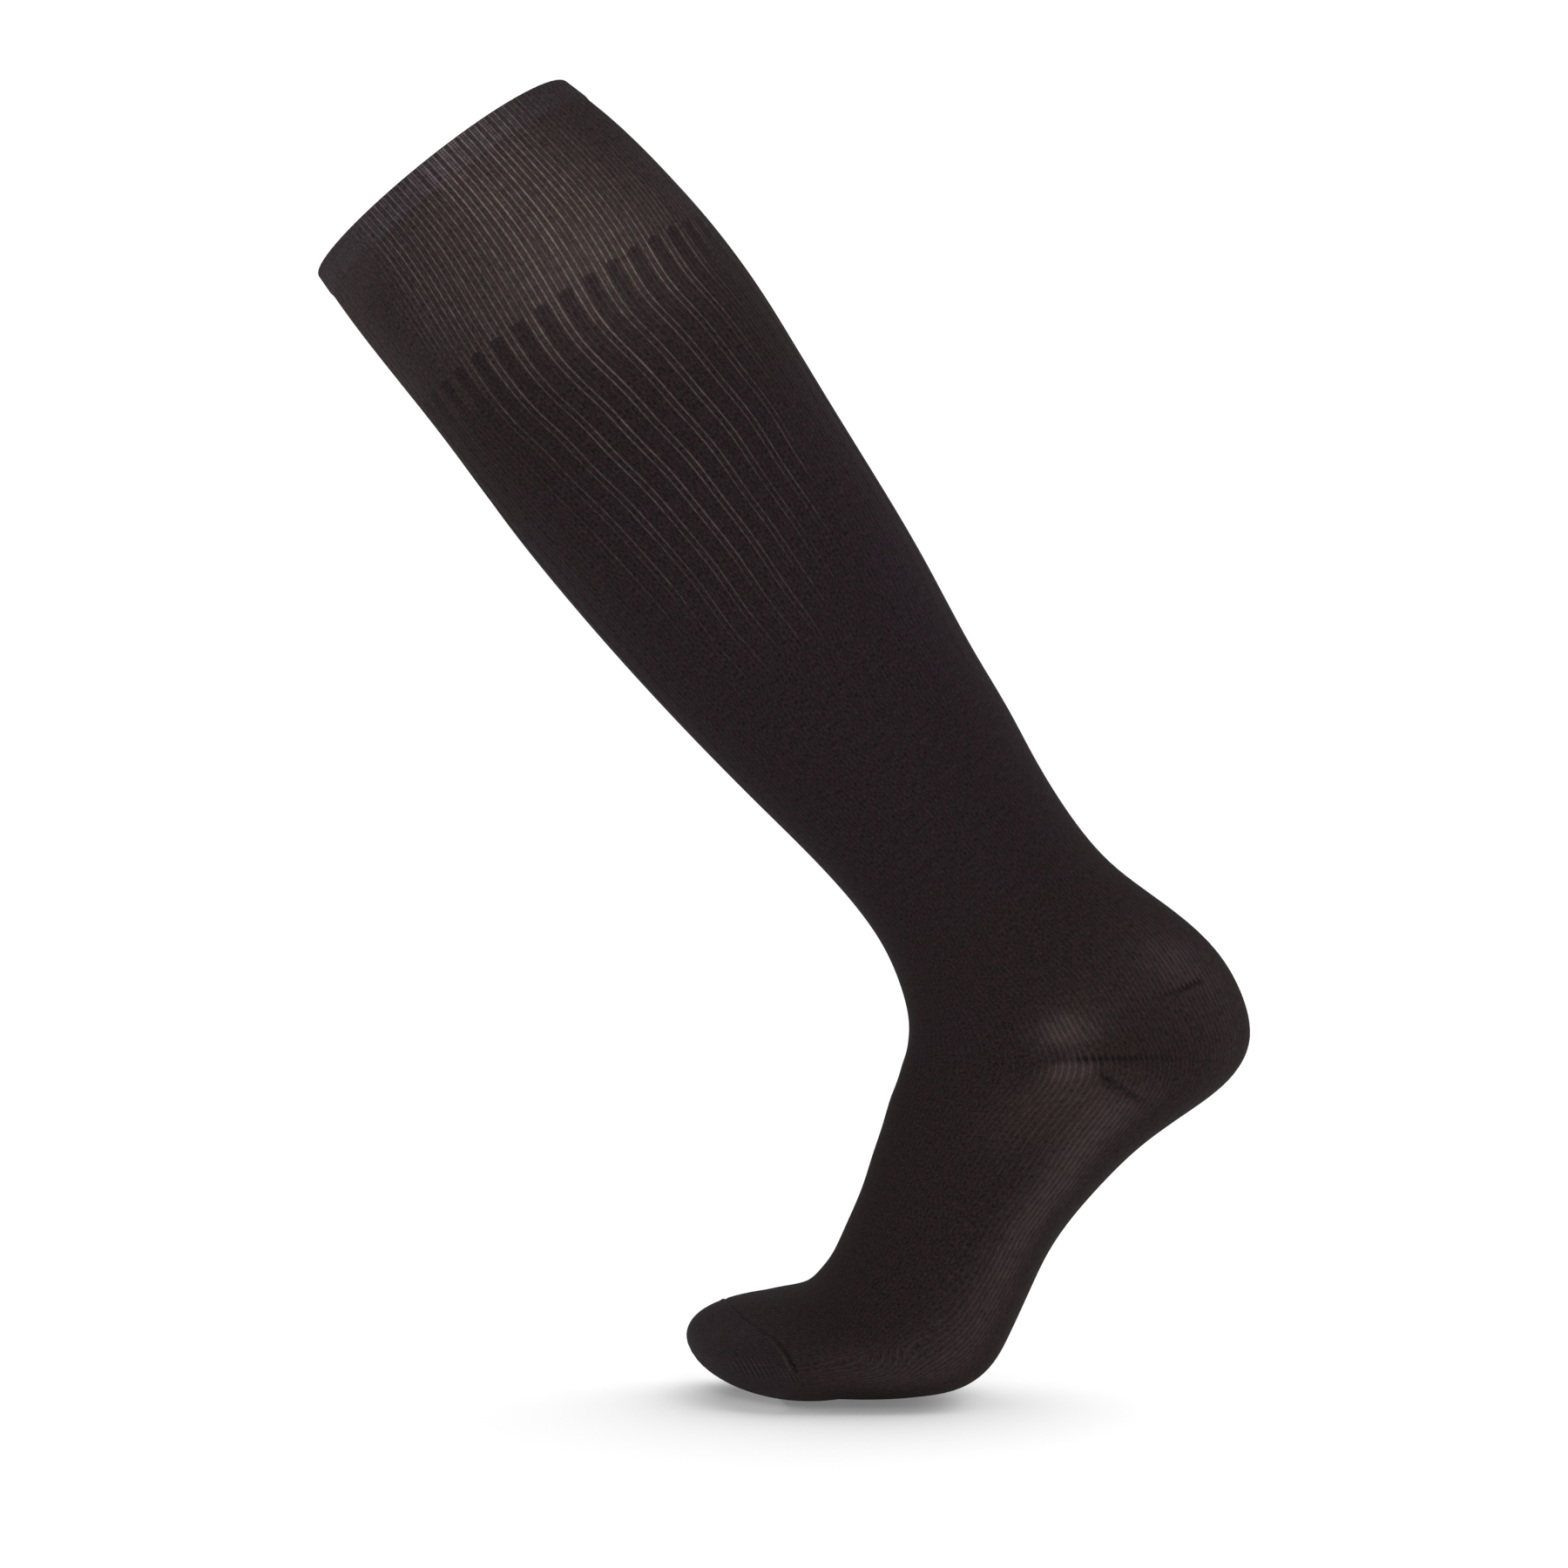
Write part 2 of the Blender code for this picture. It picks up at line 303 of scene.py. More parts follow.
# %% The shell maker
def grid_faces(rows, columns, first, flip):
    corner = first + np.arange(rows - 1)[:, None] * columns + np.arange(columns - 1)
    ring = (0, 1, columns + 1, columns)
    return np.stack([corner + k for k in (ring[::-1] if flip else ring)], -1).reshape(-1, 4)


def rim_faces(outer, inner, flip):
    """Return one face for each inner edge of a rim and the outer edges along it."""
    span = np.arange(len(inner) - 1)[:, None] * INNER_EVERY + np.arange(INNER_EVERY + 1)
    faces = np.concatenate([outer[span], inner[1:, None], inner[:-1, None]], 1)
    return faces[:, ::-1] if flip else faces


def knit_piece(name, wales, runs, relief, wall=WALL, lip=None, tip=False):
    """Make one shell from its wales and its rows' runs; relief and lip are in metres."""
    wale = np.broadcast_to(wales, runs.shape)
    angle = wale_angle(wale, runs)
    skin, outward = skin_point(runs, angle), skin_outward(runs, angle)
    if tip:      # all wales meet in one point there
        end = outward[-2, :-1].mean(0)
        outward[-1] = end / np.linalg.norm(end)
    rim = lip(runs) if lip else 0 * runs
    outer = skin + outward * (relief(runs, wale, angle) - rim)[..., None]
    (rows, columns), n = runs.shape, INNER_EVERY
    inner = (skin - outward * (wall - rim)[..., None])[::n, ::n]
    inner_rows, inner_columns = inner.shape[:2]
    first = rows * columns
    out_at = np.arange(first).reshape(rows, columns)
    in_at = first + np.arange(inner_rows * inner_columns).reshape(inner_rows, inner_columns)
    groups = [grid_faces(rows, columns, 0, False),
              grid_faces(inner_rows, inner_columns, first, True),
              rim_faces(out_at[0], in_at[0], True)]
    if not tip:
        groups.append(rim_faces(out_at[-1], in_at[-1], False))
    mesh = bpy.data.meshes.new(name)
    points = np.concatenate([outer.reshape(-1, 3), inner.reshape(-1, 3)])
    mesh.from_pydata(points.tolist(), [], [face for group in groups for face in group.tolist()])
    both = lambda values: np.concatenate([values.ravel(), values[::n, ::n].ravel()])
    mean_run = runs.mean(1, keepdims=True)
    share = np.broadcast_to((mean_run - mean_run[0]) / (mean_run[-1] - mean_run[0]), runs.shape)
    across = (both(wale) - wales[0]) / (wales[-1] - wales[0])
    lay_out(mesh, groups, both(wale), both(runs) / COURSE, across, both(share), first)
    for label, field in FIELDS.items():
        values = both(field(runs, angle)).astype(np.float32)
        mesh.attributes.new(label, "FLOAT", "POINT").data.foreach_set("value", values)
    weld(mesh)
    piece = bpy.data.objects.new(name, mesh)
    bpy.context.scene.collection.objects.link(piece)
    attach(piece, "root")
    mesh.calc_loop_triangles()
    print("%s: %d triangles" % (name, len(mesh.loop_triangles)))
    return piece


# %% Maps and the weld
STRIPS = ((0.30, 0.995), (0.05, 0.28), (0.030, 0.040), (0.010, 0.020))  # walls, then rims
MARGIN = 0.005  # left free on both sides of the bake map
WELD_WITHIN, SHARP_FROM = 1e-6, math.radians(70)


def lay_out(mesh, groups, wale, course, across, share, first):
    """Write both UV maps; each group of faces gets its own strip of the bake map."""
    corners = np.concatenate([group.ravel() for group in groups])
    knit = np.stack([wale, course], -1)[corners]
    flat = []
    for index, (group, (low, high)) in enumerate(zip(groups, STRIPS)):
        at = group.ravel()
        up = share[at] if index < 2 else (at >= first).astype(float)
        flat.append(np.stack([MARGIN + (1 - 2 * MARGIN) * across[at], low + (high - low) * up], -1))
    for label, values in (("knit", knit), ("OFBake", np.concatenate(flat))):
        layer = mesh.uv_layers.new(name=label)
        layer.uv.foreach_set("vector", values.astype(np.float32).ravel())


def weld(mesh):
    """Join the first wale to the last, and each point where several corners meet."""
    work = bmesh.new()
    work.from_mesh(mesh)
    bmesh.ops.remove_doubles(work, verts=work.verts, dist=WELD_WITHIN)
    work.to_mesh(mesh)
    work.free()
    mesh.shade_smooth()
    mesh.set_sharp_from_angle(angle=SHARP_FROM)


print("bake strips:", STRIPS)

# %% [markdown]
# ## Small shapes for the relief
# All heights are in metres above the solid. `fade` brings a feature in between two places, and
# `window` brings it in and out again. `mound` places one soft swelling or hollow, on both
# sides of the leg alike, and `mounds` adds up a table of them. Ribs come in twos: two wales stand
# side by side with a shallow ladder between them, and a deep furrow on both sides. `rib_body` is
# the broad back of such a rib and `wale_crest` the crest of each single wale.

# %% Shapes of the knit
CREST_WIDTH = 0.17  # of a wale
BODY_FULLNESS = 0.7  # below 1, the rib's back is rounder


def fade(value, start, end):
    """Go softly from 0 at start to 1 at end, which may be the smaller one."""
    t = np.clip((value - start) / (end - start), 0, 1)
    return t * t * (3 - 2 * t)


def window(value, start, full, leaving, end):
    """Go softly from 0 at start to 1 at full, stay, and go back from leaving to 0 at end."""
    return fade(value, start, full) * (1 - fade(value, leaving, end))


def mirrored(angle):
    """Return degrees from 180 at the back or sole to 360 in front, on both sides alike."""
    return 180 + np.abs(np.degrees(angle) % 360 - 180)


def bell(value, middle, wide):
    return np.exp(-((value - middle) / wide) ** 2)


def mound(run, angle, at_run, at_angle, long, wide):
    """Return a soft mound of height 1; long is in metres and wide in degrees."""
    return bell(run, at_run, long) * bell(mirrored(angle), at_angle, wide)


def mounds(table, run, angle):
    return sum(height * mound(run, angle, *place) for *place, height in table)


def rib_body(wale):
    return 0.5 - 0.5 * np.cos(np.pi * wale)


def wale_crest(wale):
    return bell(wale % 1, 0.5, CREST_WIDTH)


def rib_height(wale):
    return (rib_body(wale) ** BODY_FULLNESS + wale_crest(wale)) / 2


print("rib height over one rib:", rib_height(np.array([0, 0.25, 0.5, 1, 1.5, 2])).round(2))

# %% The panels below the cuff
PANEL_START, PANEL_FADE = 0.0668, 0.0007  # here the second rib of each repeat stops
PANEL_MIDDLE, PANEL_ROUND = 3, 0.0007  # its end is rounded by this much


def in_panel(run, wale):
    """Return 1 on the flat panels below the cuff, between the ribs that go on."""
    start = PANEL_START + PANEL_ROUND * (wale % REPEAT - PANEL_MIDDLE) ** 2
    return (wale % REPEAT > 2) * fade(run, start, start + PANEL_FADE)


print("a panel's edge and middle at 67 mm:", in_panel(0.067, np.array([2.1, 3.0])).round(2))

# %% [markdown]
# ## Where the knit is stretched, and where light is painted
# Black yarn looks lighter where the knit is pulled open and its smooth nylon lies in line. We
# could paint that by hand as a colour attribute. Here a few numbers at every point of the mesh
# do it: `stretch` for the pulled areas and also for painted highlight on the cuff
# and the sole, painted rim light along the front and back, and painted light on the toe's
# shaded underside, `shine` for the ribs, whose light round the leg is a painted highlight and
# which lose themselves above the ankle, `seam` for the dark, pulled-in courses below the heel
# and the painted shade of the dimple at its corner, `holes` for the row of holes that runs back
# from the heel's corner, `pleat` for the gathers of the toe, with painted shade in their folds
# and painted highlight on their crests, and `violet` for the tone of the dye. `line` and `mark`
# draw a fine groove, dark partly as a seam and partly as painted shade: a distance stays exact
# between two far points of the mesh, where a narrow dark line would be lost.

# %% Edges of the heel and the toe
def heel_edge(row):
    """Return an edge of the heel pocket: level round the front, opened out over the back."""
    corner, far = np.interp([HEEL_MIDDLE, row], range(len(ROW_RUNS)), ROW_RUNS)
    return lambda angle: corner + (far - corner) * np.clip(-np.cos(angle), 0, 1) ** HEEL_CURVE


heel_top, heel_bottom = heel_edge(HEEL_TOP), heel_edge(HEEL_BOTTOM)
gore_run = ROW_RUNS[round(HEEL_MIDDLE)]
toe_run = LAST_RUN + TOE_SEAM
print("the heel's gore lies at %.0f mm, the toe seam at %.0f mm" % (1000 * gore_run, 1000 * toe_run))

# %% Where the knit is pulled open, and painted highlight
def table_at(table, at):
    """Return a table's value at each place, on straight lines between its entries."""
    return np.interp(at, list(table), list(table.values()))


# the band along the sole, pulled knit and painted highlight, by run: its middle and
# width in degrees, and how bright it is
SOLE_MIDDLE = {0.425: 246, 0.460: 238, 0.480: 240, 0.515: 251, 0.550: 256}
SOLE_WIDTH = {0.425: 13, 0.480: 14, 0.515: 17, 0.550: 20}
SOLE_PULL_AND_HIGHLIGHT = {0.430: 0.74, 0.460: 0.76, 0.500: 0.58, 0.550: 0.42, 0.575: 0.18}
SOLE_FROM = (0.406, 0.430)
CUFF_ENDS = (0.058, 0.074)
# painted highlight down the middle of each side of the cuff
CUFF_HIGHLIGHT, CUFF_MIDDLE, CUFF_WIDTH = 0.42, 256, 34
RIM_SHARE, RIM_ENDS = 0.5, (0.006, 0.026)  # the welt has this share of the cuff's painted highlight
FRONT_RIM_LIGHT, FRONT_FROM = 0.35, (318, 350)  # painted rim light along the front edge of the cuff
FRONT_REACH, FRONT_ENDS = 26, (0.010, 0.034)  # at the rim it reaches further round
BANDS = (
    (0.10, (308, 335), (0.066, 0.085, 0.140, 0.200)),  # painted rim light along the front of the calf
    (0.16, (246, 200), (0.070, 0.090, 0.340, 0.375)),  # painted rim light along the back of the leg
)
PULLED_AND_LIT_SPOTS = (
    # run, angle, length, width and brightness of each soft spot: stretched knit at the
    # heel's corner, painted highlight elsewhere
    (0.074, 252, 0.026, 34, 0.5),  # below the cuff
    (0.38, 220, 0.02, 26, 0.34),  # back of the ankle
    (0.4, 210, 0.022, 14, 0.18),  # back of the heel
    (0.379, 226, 0.007, 12, 0.35),
    (0.384, 262, 0.012, 20, 0.16),
    (0.3928, 275, 0.007, 9, 1.1),  # above the heel's corner
    (0.408, 273, 0.0045, 7, 1.15),  # below it
    (0.417, 268, 0.008, 16, 0.34),
    (0.43, 270, 0.017, 20, 0.3),
    (0.585, 214, 0.016, 30, 0.75),  # underside of the toes: painted light where the floor shades them
    (0.585, 312, 0.018, 24, 0.22),  # top of the toes
)


# lighter where the knit is pulled open, and painted highlight and rim light round the leg
def stretch_and_highlight_field(run, angle):
    side = mirrored(angle)
    sole = bell(side, table_at(SOLE_MIDDLE, run), table_at(SOLE_WIDTH, run))
    sole *= table_at(SOLE_PULL_AND_HIGHLIGHT, run) * fade(run, *SOLE_FROM)
    from_rim = RIM_SHARE + (1 - RIM_SHARE) * fade(run, *RIM_ENDS)
    front = side + FRONT_REACH * (1 - fade(run, *FRONT_ENDS))
    cuff = CUFF_HIGHLIGHT * bell(side, CUFF_MIDDLE, CUFF_WIDTH) * from_rim
    cuff += FRONT_RIM_LIGHT * fade(front, *FRONT_FROM)
    cuff *= 1 - fade(run, *CUFF_ENDS)
    bands = sum(pull * fade(side, *sides) * window(run, *runs) for pull, sides, runs in BANDS)
    return np.clip(sole + cuff + bands + mounds(PULLED_AND_LIT_SPOTS, run, angle), 0, 1)


every = np.arange(0, 0.6, 0.05)
print("pull on the outer side, every 50 mm:", stretch_and_highlight_field(every, np.radians(250)).round(2))

# %% How the ribs shine, as a painted highlight
# by run, then by angle: the cuff at its top and its end, the calf, and the run where ribs end.
# Round the leg the ribs' light is a painted highlight, brightest on both sides.
DOWN_SHINE = {0.050: 0.80, 0.069: 0.80, 0.076: 0.76, 0.092: 0.72, 0.108: 0.62, 0.140: 0.61,
              0.156: 0.57, 0.172: 0.49, 0.188: 0.36, 0.204: 0.27, 0.220: 0.19, 0.236: 0.13}
CUFF_TOP_SHINE = {206: 0.12, 222: 0.24, 230: 0.36, 239: 0.56, 248: 0.78, 257: 0.92, 266: 0.90,
                  275: 0.74, 284: 0.56, 295: 0.52, 304: 0.44, 312: 0.26, 322: 0.10}
CUFF_END_SHINE = {206: 0.30, 222: 0.42, 230: 0.54, 239: 0.80, 248: 0.84, 257: 0.92, 266: 0.86,
                  275: 0.70, 284: 0.54, 295: 0.54, 304: 0.52, 312: 0.36, 322: 0.14}
CALF_SHINE = {205: 0.20, 214: 0.44, 228: 0.66, 246: 0.74, 262: 0.93, 272: 1.00, 282: 0.90,
              290: 0.78, 300: 0.58, 309: 0.44, 317: 0.22, 326: 0.05}
RIB_END = {205: 0.105, 226: 0.150, 238: 0.207, 250: 0.220,
           265: 0.228, 290: 0.230, 310: 0.215, 330: 0.160}
TOP_TO_END, CUFF_TO_CALF = (0.018, 0.048), (0.062, 0.085)
SHINE_CUT, SHINE_CUT_RUNS, SHINE_CUT_SIDES = 0.35, (0.050, 0.062), (294, 306)  # less painted highlight at the end of the cuff in front
RIB_LEAVES, RIB_GONE = -0.014, 0.006  # from RIB_END
FAINT, FAINT_SIDES, FAINT_RUNS = 0.07, (260, 268, 288, 296), (0.29, 0.33)
# spots of more painted highlight on the ribs
SHINE_SPOTS = (
    # run, angle, length, width and brightness
    (0.088, 240, 0.018, 22, 0.24),  # back of the calf
    (0.2815, 283, 0.007, 2.5, 0.14),
    (0.294, 272, 0.005, 2.5, 0.14),
)


def shine_field(run, angle):
    side = mirrored(angle)
    top, end = table_at(CUFF_TOP_SHINE, side), table_at(CUFF_END_SHINE, side)
    cuff = top + (end - top) * fade(run, *TOP_TO_END)
    cuff *= 1 - SHINE_CUT * fade(run, *SHINE_CUT_RUNS) * fade(side, *SHINE_CUT_SIDES)
    ribs = cuff + (table_at(CALF_SHINE, side) - cuff) * fade(run, *CUFF_TO_CALF)
    rib_end = table_at(RIB_END, side)
    ribs *= table_at(DOWN_SHINE, run) * (1 - fade(run, rib_end + RIB_LEAVES, rib_end + RIB_GONE))
    faint = FAINT * window(side, *FAINT_SIDES) * (1 - fade(run, *FAINT_RUNS))
    return np.clip(np.maximum(ribs, faint) + mounds(SHINE_SPOTS, run, angle), 0, 1)


print("shine on the outer side, every 50 mm:", shine_field(every, np.radians(275)).round(2))

# %% Drawn-in courses, holes and gathers
PICKED_UP, PICKED_WIDTH, PICKED_SIDES = 0.0011, 0.0013, (232, 246, 261, 268)  # below the heel
PICKED_DEPTH = 0.7
DIMPLE = ((0.4025, 277, 0.0022, 4, 0.6),)  # at the heel's corner: painted shade in the hollow
HOLES_RISE, HOLES_CORNER, HOLES_SIDES = 0.00007, 272, (222, 264, 270, 275)
HOLES_WIDTH = {230: 0.0006, 268: 0.0012}
GATHERS = ((0.5892, 267, 0.0060, 11, 0.9), (0.5785, 260, 0.0026, 4, 0.8))


def seam_field(run, angle):
    below = PICKED_DEPTH * bell(run, heel_bottom(angle) + PICKED_UP, PICKED_WIDTH)
    return np.clip(below * window(mirrored(angle), *PICKED_SIDES) + mounds(DIMPLE, run, angle), 0, 1)


def holes_field(run, angle):
    side = mirrored(angle)
    line = gore_run + HOLES_RISE * np.clip(HOLES_CORNER - side, 0, 50)
    return bell(run, line, table_at(HOLES_WIDTH, side)) * window(side, *HOLES_SIDES)


def pleat_field(run, angle):
    return mounds(GATHERS, run, angle)


near_heel = np.linspace(0.40, 0.44, 81)
print("most drawn in below the heel:", seam_field(near_heel, np.radians(254)).max().round(2))

# %% Fine grooves and the tone of the dye
TOE_BOW = {258: 0.0014, 267: 0.0021, 278: 0.0025, 293: 0.0030, 306: 0.0015, 320: 0.0000}
EDGE_RUN, EDGE_SIDE, EDGE_SLOPE = 0.3878, 243, 0.000065  # the heel's upper edge
EDGE_HALF, TOE_HALF = 0.0012, 0.0009  # half the width of each groove
EDGE_MARK, EDGE_SIDES = 0.80, (215, 222, 227, 250)
TOE_MARK, TOE_FROM = {267: 1.00, 282: 0.75, 298: 0.35, 315: 0.18, 330: 0.00}, (263, 268)
HEEL_OR_TOE = 0.5  # a run between the two grooves
VIOLET_DOWN = {0.10: 0.0, 0.135: 0.25, 0.20: 0.30, 0.30: 0.40, 0.35: 0.45, 0.385: 0.70,
               0.43: 0.70, 0.45: 0.40, 0.51: 0.40, 0.56: 0.50}
CORNER_RUNS, CORNER_SIDE, CORNER_WIDTH = (0.355, 0.380, 0.430, 0.455), 268, 26
CUFF_VIOLET, VIOLET_ENDS, PLAIN_SIDE, PLAIN_WIDTH = 0.4, (0.060, 0.075), 252, 32
CALF_VIOLET = ((0.222, 220, 0.060, 32, 0.65),)


def toe_line(angle):
    """Return the run of the linked toe seam, which bows towards the foot on both sides."""
    return toe_run - table_at(TOE_BOW, mirrored(angle))


def line_field(run, angle):
    """Return how far below the heel's upper edge or the toe seam a point lies, in half widths."""
    heel_line = EDGE_RUN - EDGE_SLOPE * (EDGE_SIDE - mirrored(angle))
    heel, toe = (run - heel_line) / EDGE_HALF, (run - toe_line(angle)) / TOE_HALF
    return np.where(run < HEEL_OR_TOE, heel, toe)


def mark_field(run, angle):
    side = mirrored(angle)
    toe = fade(side, *TOE_FROM) * table_at(TOE_MARK, side)
    return np.where(run < HEEL_OR_TOE, EDGE_MARK * window(side, *EDGE_SIDES), toe)


def violet_field(run, angle):
    """Return how far the dye leans to violet: most at the back, least at the heel's corner."""
    side = mirrored(angle)
    down = table_at(VIOLET_DOWN, run)
    down = down * (1 - window(run, *CORNER_RUNS) * bell(side, CORNER_SIDE, CORNER_WIDTH))
    cuff = CUFF_VIOLET * (1 - bell(side, PLAIN_SIDE, PLAIN_WIDTH)) * (1 - fade(run, *VIOLET_ENDS))
    return np.clip(down + cuff + mounds(CALF_VIOLET, run, angle), 0, 1)


FIELDS = {"stretch": stretch_and_highlight_field, "shine": shine_field, "seam": seam_field, "holes": holes_field,
          "pleat": pleat_field, "line": line_field, "mark": mark_field, "violet": violet_field}
print("numbers at every point:", sorted(FIELDS))

# %% [markdown]
# ## The welt and the cuff
# The welt is knitted first. Its edge is folded over and knitted shut, so it is two layers
# thick, stands a little proud and has a round rim. Below it the cuff is an elastic rib that
# holds the stocking up: every rib of the repeat is raised there, down to its last course.

# %% Welt and cuff
RIB_HEIGHT = 0.00036
PANEL_LOSS = 0.85  # of that height
WELT_PROUD, WELT_STEP = 0.00040, 0.0020  # the welt stands out, and ends in a soft step
RIM_RIBS = (-0.0008, 0.0012)  # the ribs come in over the rim
rib_phases = (0, 0.2, 0.35, 0.5, 0.65, 0.8, 1, 1.2, 1.35, 1.5, 1.65, 1.8)
cuff_columns = columns_of(rib_phases + tuple(2 + phase for phase in rib_phases))


def welt_relief(run, wale, angle):
    proud = WELT_PROUD * (1 - fade(run, WELT_END - WELT_STEP, WELT_END))
    return proud + RIB_HEIGHT * rib_height(wale) * fade(run, *RIM_RIBS)


def welt_lip(run):
    """Return how far the wall draws in at its rounded rim."""
    short = np.clip(1 - run / (WELT_WALL / 2), 0, 0.99)
    return WELT_WALL / 2 * (1 - np.sqrt(1 - short ** 2))


def cuff_relief(run, wale, angle):
    return RIB_HEIGHT * rib_height(wale) * (1 - PANEL_LOSS * in_panel(run, wale))


# rows in millimetres down the tube, close together on the round rim and where the panels start
welt_rows = np.concatenate([1 - np.cos(np.linspace(0, 1.5, 7)), np.linspace(2, 11, 10)])
cuff_rows = np.concatenate([np.linspace(11, 67, 21), [67.6, 68.0, 68.5, 69]])
welt_runs = rows_between(cuff_columns, level(0), level(WELT_END), shares_of(welt_rows))
cuff_runs = rows_between(cuff_columns, level(WELT_END), level(CUFF_END), shares_of(cuff_rows))
welt = knit_piece("welt_knit", cuff_columns, welt_runs, welt_relief, wall=WELT_WALL, lip=welt_lip)
cuff = knit_piece("cuff_knit", cuff_columns, cuff_runs, cuff_relief)

# %% [markdown]
# ## The leg
# Below the cuff only the first rib of each repeat stays raised, and the panels between the ribs
# lie flat. The ribs stand out over the calf, sink in below it, and are gone above the ankle,
# where the knit is plain. The columns are close together on the ribs and further apart between
# them, so the relief is sharp and the piece still stays light.

# %% Leg
leg_columns = columns_of(rib_phases + (2, 2.3, 2.5, 2.7, 3, 3.3, 3.5, 3.7))
PLAIN = 0.00007  # height of a wale in the plain knit
CALF_LOSS, CALF_LOWERS = 0.00014, (0.16, 0.24)  # the ribs sink in two steps
ANKLE_LOWERS, RIBS_LEAVE = (0.24, 0.34), (0.32, 0.35)
HEEL_FORM = (
    # run, angle, length, width and height
    (0.3935, 275, 0.006, 8, 0.0005),  # puff above the heel's corner
    (0.4115, 269, 0.007, 8, 0.0005),  # puff below it
    (0.4025, 274, 0.003, 5, -0.0008),  # the dimple between them
)


def leg_relief(run, wale, angle):
    height = RIB_HEIGHT - CALF_LOSS * fade(run, *CALF_LOWERS)
    height -= (RIB_HEIGHT - CALF_LOSS) * fade(run, *ANKLE_LOWERS)
    ribs = (wale % REPEAT <= 2) * rib_height(wale) * height * (1 - fade(run, *RIBS_LEAVE))
    return np.maximum(ribs, PLAIN * wale_crest(wale)) + mounds(HEEL_FORM, run, angle)


leg_shares = np.concatenate([[0, 0.002, 0.005], np.linspace(0.01, 1, 98)])
leg_runs = rows_between(leg_columns, level(CUFF_END), heel_top, leg_shares)
leg = knit_piece("leg_knit", leg_columns, leg_runs, leg_relief)

# %% [markdown]
# ## The heel pocket
# A tube alone can't turn a corner. The machine knits a pocket on half of its needles, first
# narrower and then wider again, and the slanted edges of both halves meet in a gore. It shows
# as a row of small dark holes that runs back from the heel's corner, and its outer edges are
# drawn in where the pocket was picked up again. Both walls are thin there, so the rows of the
# mesh are laid close to each of those three lines.

# %% Heel
PER_WALE = 4  # columns of the plain knit
GORE_SWING, GORE_WIDTH, GORE_DEPTH = 0.0007, 0.0006, 0.00022
GORE_SIDES = (222, 240, 269, 273)
SEAM_DEPTH = 0.00020  # of the drawn-in courses


def gore_line(wale):
    """Return the run of the gore, which goes to and fro by one stitch."""
    return gore_run + GORE_SWING * (np.abs(2 * (wale % 1) - 1) - 0.5)


def plain_relief(run, wale, angle):
    """Return the wales and the heel's form, less the drawn-in courses."""
    form = PLAIN * wale_crest(wale) + mounds(HEEL_FORM, run, angle)
    return form - SEAM_DEPTH * seam_field(run, angle)


def heel_relief(run, wale, angle):
    gore = bell(run, gore_line(wale), GORE_WIDTH) * window(mirrored(angle), *GORE_SIDES)
    return plain_relief(run, wale, angle) - GORE_DEPTH * gore


def wale_at(angle, run):
    """Return the wale that lies at an angle, given in degrees, at a run."""
    wales = np.linspace(-WALES, WALES, 20 * WALES)
    return np.interp(math.radians(angle), wale_angle(wales, np.full(len(wales), run)), wales)


sides = wale_at(90, gore_run), wale_at(270, gore_run)
heel_columns = np.linspace(*sides, PER_WALE * WALES // 2 + 1)
ease = 0.5 - 0.5 * np.cos(np.linspace(0, np.pi, 25))
heel_runs = np.concatenate([rows_between(heel_columns, heel_top, level(gore_run), ease)[:-1],
                            rows_between(heel_columns, level(gore_run), heel_bottom, ease)])
heel_runs[:, [0, -1]] = gore_run  # both corners are points
heel = knit_piece("heel_knit", heel_columns, heel_runs, heel_relief)

# %% [markdown]
# ## The foot and the toe
# The foot is a plain tube again. The toe cap is linked on: the two rows of open stitches are
# joined in a fine ridge, with a furrow on the foot's side of it. The rows of the mesh lie close
# together there. The stitches die out towards the tip, where the last courses are drawn together.

# %% Foot and toe
plain_columns = columns_of(np.arange(0, REPEAT, 1 / PER_WALE))
TOE_RELIEF, TOE_SIDES = 0.00026, (258, 268)
GROOVE_WIDTH, RIDGE_PAST, RIDGE_WIDTH = 0.0006, 0.0013, 0.0007
TIP_PLAIN = (0.026, 0.036)  # past the toe joint the wales die out here
NEAR_SEAM = 0.003  # the rows lie close for this far past the seam


def toe_seam(run, angle):
    """Return the seam's groove, and the ridge on the toe's side of it."""
    past = run - toe_line(angle)
    relief = bell(past, RIDGE_PAST, RIDGE_WIDTH) - bell(past, 0, GROOVE_WIDTH)
    return TOE_RELIEF * relief * fade(mirrored(angle), *TOE_SIDES)


def foot_relief(run, wale, angle):
    return plain_relief(run, wale, angle) + toe_seam(run, angle)


def toe_relief(run, wale, angle):
    return PLAIN * wale_crest(wale) * (1 - fade(run - LAST_RUN, *TIP_PLAIN)) + toe_seam(run, angle)


foot_shares = np.concatenate([[0, 0.004, 0.008], np.linspace(0.014, 0.968, 66),
                              np.linspace(0.971, 1, 12)])
foot_runs = rows_between(plain_columns, heel_bottom, level(toe_run), foot_shares)
foot = knit_piece("foot_knit", plain_columns, foot_runs, foot_relief)
toe_length = LAST_RUN + TOE_REACH - toe_run
# the weld joins the row that both lists hold. The inner wall takes every fourth of these 34 rows,
# so it stops one row short of the tip
at_seam = np.linspace(0, NEAR_SEAM, 11)
to_tip = toe_length - (toe_length - NEAR_SEAM) * np.cos(np.linspace(0, np.pi / 2, 23)) ** 1.5
toe_rows = (np.concatenate([at_seam, to_tip]) / toe_length)[:, None].repeat(len(plain_columns), 1)
toe_runs = toe_run + SEAM_HALF + (toe_length - SEAM_HALF) * toe_rows
toe = knit_piece("toe_knit", plain_columns, toe_runs, toe_relief, tip=True)

